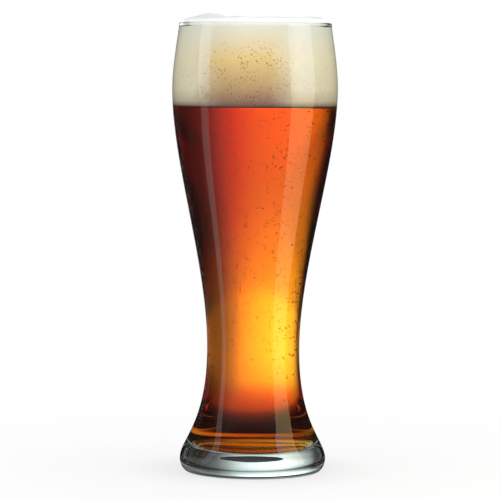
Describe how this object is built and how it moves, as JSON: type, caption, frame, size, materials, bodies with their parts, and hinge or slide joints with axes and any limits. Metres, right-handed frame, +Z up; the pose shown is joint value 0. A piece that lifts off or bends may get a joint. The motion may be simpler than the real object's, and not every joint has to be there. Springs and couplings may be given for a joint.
{
  "type": "filled pilsner glass",
  "caption": "Tall waisted pilsner glass with a heavy foot and beaded rim, filled with amber beer under a head of foam.",
  "frame": {"origin": "middle of the foot, on the surface that the glass stands on", "axes": "+Z up along the axis that the glass is turned about; +Y away from the viewer of the picture, +X to the right"},
  "size_m": [0.0854, 0.0854, 0.2365],
  "materials": {
    "clear_glass": "clear blown soda-lime glass, fire-polished, with a faint green cast in the thick foot",
    "amber_beer": "clear amber beer, red-brown where it is deep and golden where light comes through",
    "cream_foam": "matte fine-bubbled beer foam, white at the top and tan towards the beer"
  },
  "bodies": {
    "root": {"glass": "clear_glass", "beer": "amber_beer", "foam_head": "cream_foam"}
  },
  "joints": []
}
